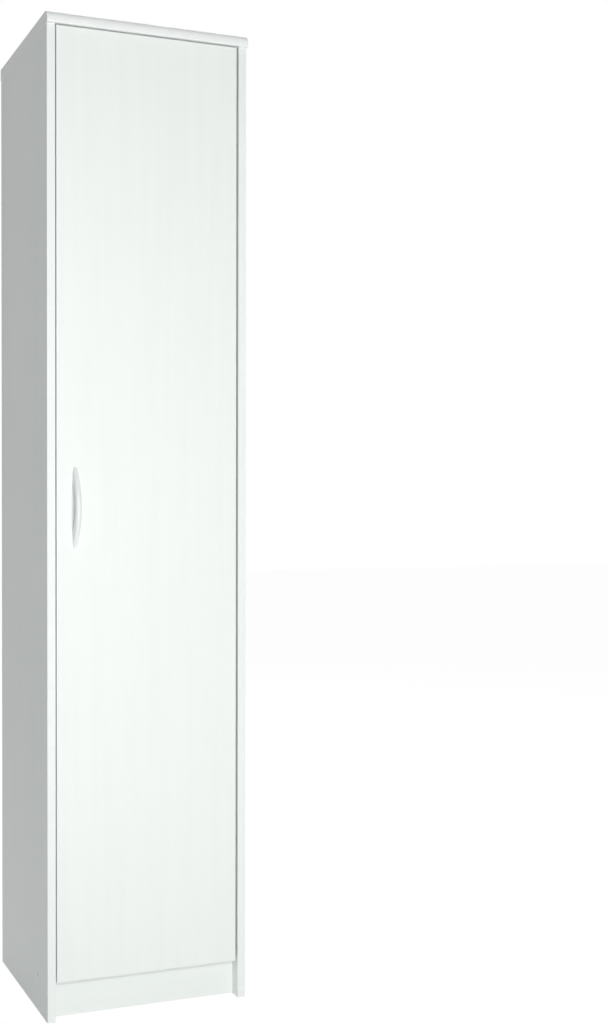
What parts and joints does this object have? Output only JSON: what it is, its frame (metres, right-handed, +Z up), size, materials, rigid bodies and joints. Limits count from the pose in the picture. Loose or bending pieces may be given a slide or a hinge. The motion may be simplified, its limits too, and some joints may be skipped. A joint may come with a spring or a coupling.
{
  "type": "broom cupboard",
  "caption": "Tall, narrow white cupboard with a full-height inset door on concealed hinges, shelves on pins, a bow handle and a recessed plinth.",
  "frame": {"origin": "on the floor, in the middle of the cupboard's width and of its depth from the handle's front to the nail heads on the back", "axes": "+Z up, -Y out of the door's front, +X to the right for someone facing the door"},
  "size_m": [0.402, 0.3802, 1.865],
  "materials": {
    "white_melamine": "white melamine-faced board, satin",
    "white_hardboard": "thin white-faced hardboard",
    "white_plastic": "white, moulded, gloss",
    "nickel_steel": "pressed steel, nickel plated, satin",
    "zinc_steel": "steel, zinc plated",
    "zinc_casting": "zinc die casting, plain",
    "beech": "plain beech"
  },
  "bodies": {
    "carcass": {"side_panel_left": "white_melamine", "side_panel_right": "white_melamine", "top_panel": "white_melamine", "bottom_panel": "white_melamine", "plinth_board": "white_melamine", "back_panel": "white_hardboard", "shelf_a": "white_melamine", "shelf_b": "white_melamine", "shelf_c": "white_melamine", "shelf_d": "white_melamine", "shelf_pins_a": "zinc_steel", "shelf_pins_b": "zinc_steel", "shelf_pins_c": "zinc_steel", "shelf_pins_d": "zinc_steel", "cam_locks": "zinc_casting", "cam_bolts": "zinc_steel", "top_dowels": "beech", "plinth_dowels": "beech", "carcass_screws": "zinc_steel", "back_nails": "zinc_steel", "hinge_arm_low": "nickel_steel", "hinge_arm_mid": "nickel_steel", "hinge_arm_high": "nickel_steel", "hinge_plate_low": "nickel_steel", "hinge_plate_mid": "nickel_steel", "hinge_plate_high": "nickel_steel", "plate_screws": "zinc_steel", "arm_screws": "zinc_steel"},
    "hinge_links": {"hinge_link_low": "nickel_steel", "hinge_link_mid": "nickel_steel", "hinge_link_high": "nickel_steel"},
    "door": {"door_panel": "white_melamine", "hinge_cup_low": "nickel_steel", "hinge_cup_mid": "nickel_steel", "hinge_cup_high": "nickel_steel", "cup_screws": "zinc_steel", "handle": "white_plastic", "handle_screws": "zinc_steel"}
  },
  "joints": [
    {"name": "hinge_link_swing", "type": "hinge", "parent": "carcass", "child": "hinge_links", "pos_m": [0.14871, -0.14487, 0.9565], "axis": [0, 0, 1], "range_deg": [-47.5, 0]},
    {"name": "door_swing", "type": "hinge", "parent": "hinge_links", "child": "door", "pos_m": [0.169, -0.14845, 0.9565], "axis": [0, 0, 1], "range_deg": [0, 142.5]}
  ],
  "couplings": [
    {"joint": "hinge_link_swing", "follows": "door_swing", "ratio": -0.33333}
  ]
}
